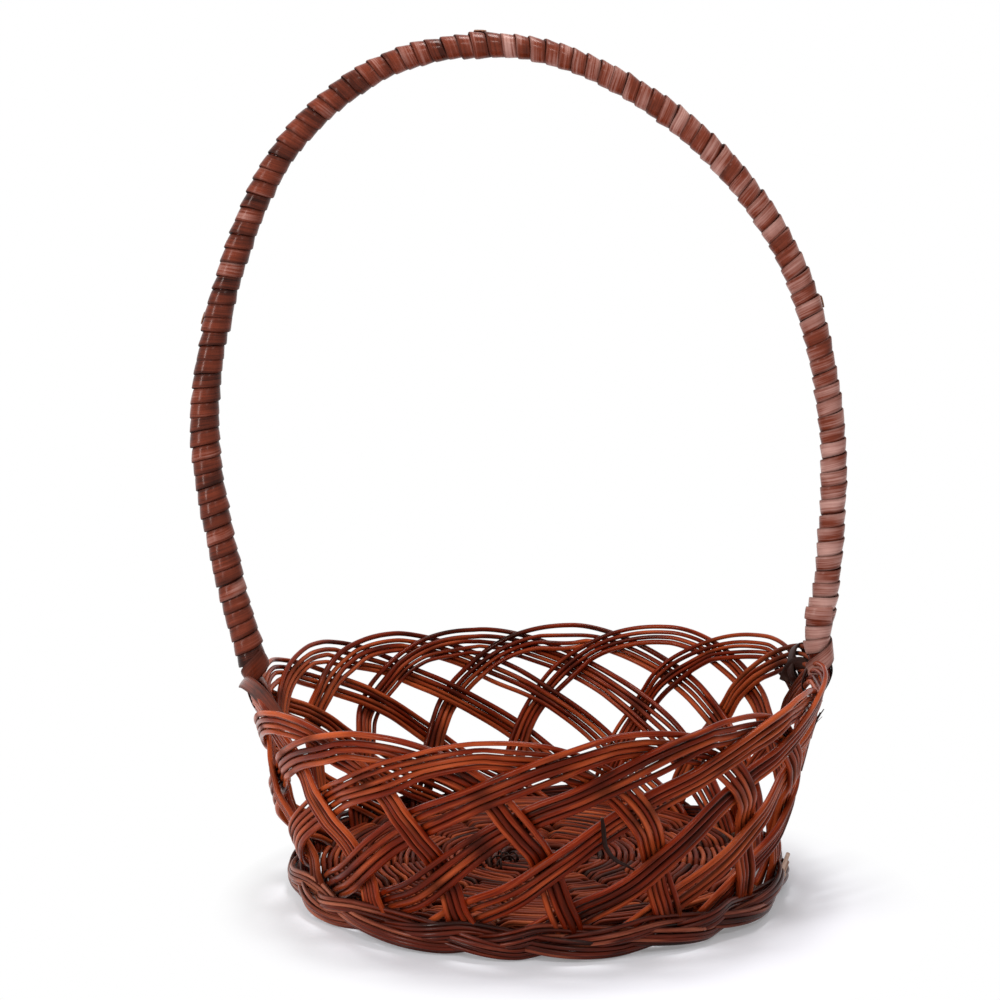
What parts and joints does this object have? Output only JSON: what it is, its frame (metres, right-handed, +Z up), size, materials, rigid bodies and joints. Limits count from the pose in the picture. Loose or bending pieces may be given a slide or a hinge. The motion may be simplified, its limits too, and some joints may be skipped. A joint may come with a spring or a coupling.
{
  "type": "willow handle basket",
  "caption": "Round openwork basket of arched willow rod bundles on a woven base and plaited foot, with a tall fixed handle wound in split willow.",
  "frame": {"origin": "on the floor, under the middle of the whole basket's box", "axes": "+Z up, +X from the left foot of the handle to the right one, -Y towards the viewer"},
  "size_m": [0.2786, 0.2473, 0.3596],
  "materials": {
    "base_sticks": "stained willow, satin varnish",
    "base_weave": "stained willow, satin varnish",
    "wall_rods": "stained willow, glossy varnish",
    "foot_plait": "stained willow, glossy varnish",
    "handle_rod": "stained willow, satin varnish",
    "handle_wrap": "stained split willow, satin varnish",
    "handle_lashing": "stained split willow, satin varnish"
  },
  "bodies": {
    "root": {"base_stick_pierced_01": "base_sticks", "base_stick_pierced_02": "base_sticks", "base_stick_pierced_03": "base_sticks", "base_stick_pierced_04": "base_sticks", "base_stick_through_01": "base_sticks", "base_stick_through_02": "base_sticks", "base_stick_through_03": "base_sticks", "base_stick_through_04": "base_sticks", "base_weaver_01": "base_weave", "base_weaver_02": "base_weave", "base_weaver_03": "base_weave", "base_weaver_04": "base_weave", "base_weaver_05": "base_weave", "base_weaver_06": "base_weave", "base_weaver_07": "base_weave", "base_weaver_08": "base_weave", "base_weaver_09": "base_weave", "base_weaver_10": "base_weave", "base_weaver_11": "base_weave", "wall_bundle_01": "wall_rods", "wall_bundle_02": "wall_rods", "wall_bundle_03": "wall_rods", "wall_bundle_04": "wall_rods", "wall_bundle_05": "wall_rods", "wall_bundle_06": "wall_rods", "wall_bundle_07": "wall_rods", "wall_bundle_08": "wall_rods", "wall_bundle_09": "wall_rods", "wall_bundle_10": "wall_rods", "wall_bundle_11": "wall_rods", "wall_bundle_12": "wall_rods", "wall_bundle_13": "wall_rods", "wall_bundle_14": "wall_rods", "wall_bundle_15": "wall_rods", "wall_bundle_16": "wall_rods", "foot_strand_01": "foot_plait", "foot_strand_02": "foot_plait", "foot_strand_03": "foot_plait", "handle_core": "handle_rod", "handle_skein_01": "handle_wrap", "handle_skein_02": "handle_wrap", "handle_skein_03": "handle_wrap", "handle_skein_04": "handle_wrap", "handle_skein_05": "handle_wrap", "lashing_right_01": "handle_lashing", "lashing_right_02": "handle_lashing", "lashing_left_01": "handle_lashing", "lashing_left_02": "handle_lashing"}
  },
  "joints": []
}
